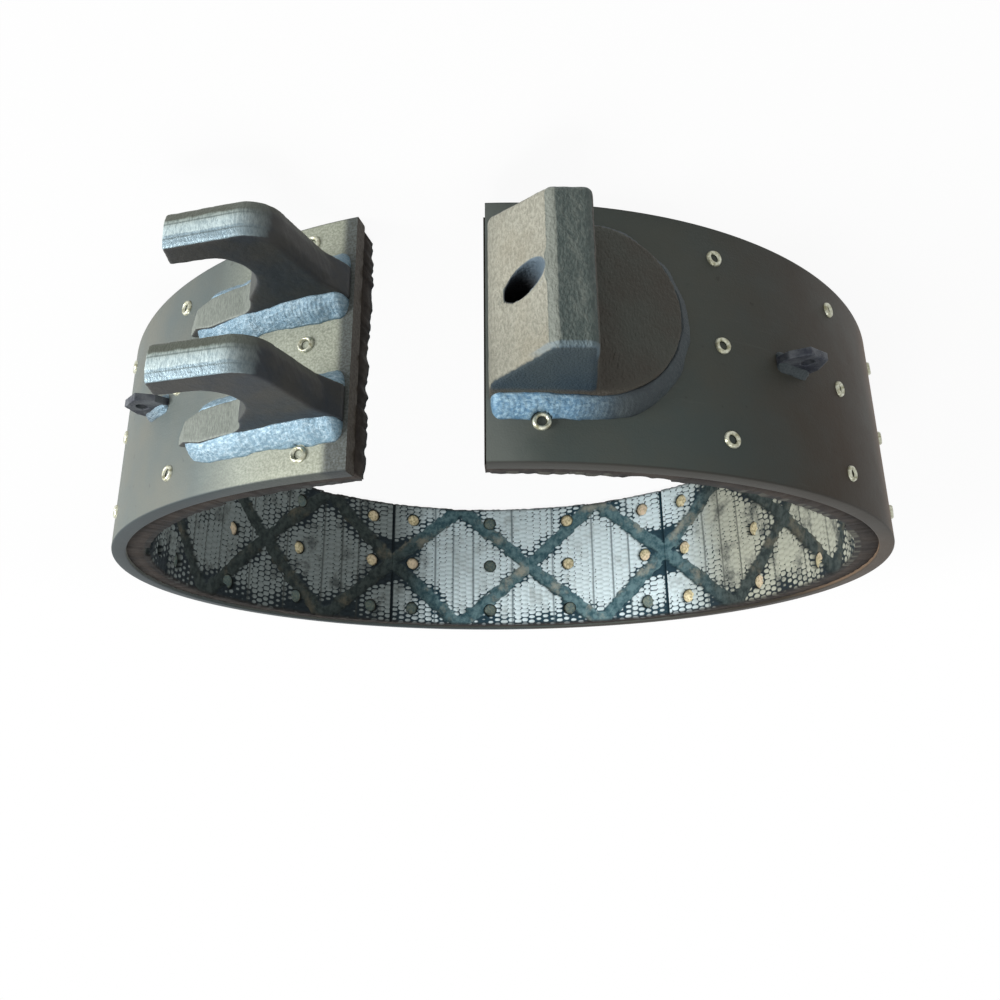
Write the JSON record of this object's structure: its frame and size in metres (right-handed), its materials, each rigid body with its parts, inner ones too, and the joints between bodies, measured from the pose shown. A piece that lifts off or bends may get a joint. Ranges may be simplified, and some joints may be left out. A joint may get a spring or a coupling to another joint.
{
  "type": "brake band",
  "caption": "Open steel brake band with riveted woven lining, welded hooks on one end, a bored anchor block on the other and drilled ears.",
  "frame": {"origin": "on the drum axis at the middle of the band's width", "axes": "+Z along the drum axis, the gap between the ends faces -Y, the hooks stand on the +X side of the gap and the anchor block on the -X side"},
  "size_m": [0.5018, 0.5528, 0.124],
  "materials": {
    "strap_steel": "rolled flat bar with dark grey scale, scuffed and lightly stained",
    "lining_woven": "coarse woven friction lining set in resin, matt, grooved",
    "rivet_brass": "dull brass-plated tubular rivets",
    "hook_steel": "cast hook, rough, worn bright on the edges",
    "block_cast": "as cast, rough, brown-grey",
    "ear_steel": "cut plate, dull",
    "weld_bead": "rippled weld bead, bright blue-grey"
  },
  "bodies": {
    "root": {"steel_band": "strap_steel", "lining_1": "lining_woven", "lining_2": "lining_woven", "lining_3": "lining_woven", "lining_4": "lining_woven", "lining_5": "lining_woven", "rivets_1": "rivet_brass", "rivets_2": "rivet_brass", "rivets_3": "rivet_brass", "rivets_4": "rivet_brass", "rivets_5": "rivet_brass", "hook_upper": "hook_steel", "hook_lower": "hook_steel", "anchor_block": "block_cast", "weld_hook_upper": "weld_bead", "weld_hook_lower": "weld_bead", "weld_anchor_block": "weld_bead", "ear_anchor_side": "ear_steel", "ear_hook_side": "ear_steel", "weld_ear_anchor_side": "weld_bead", "weld_ear_hook_side": "weld_bead"}
  },
  "joints": []
}
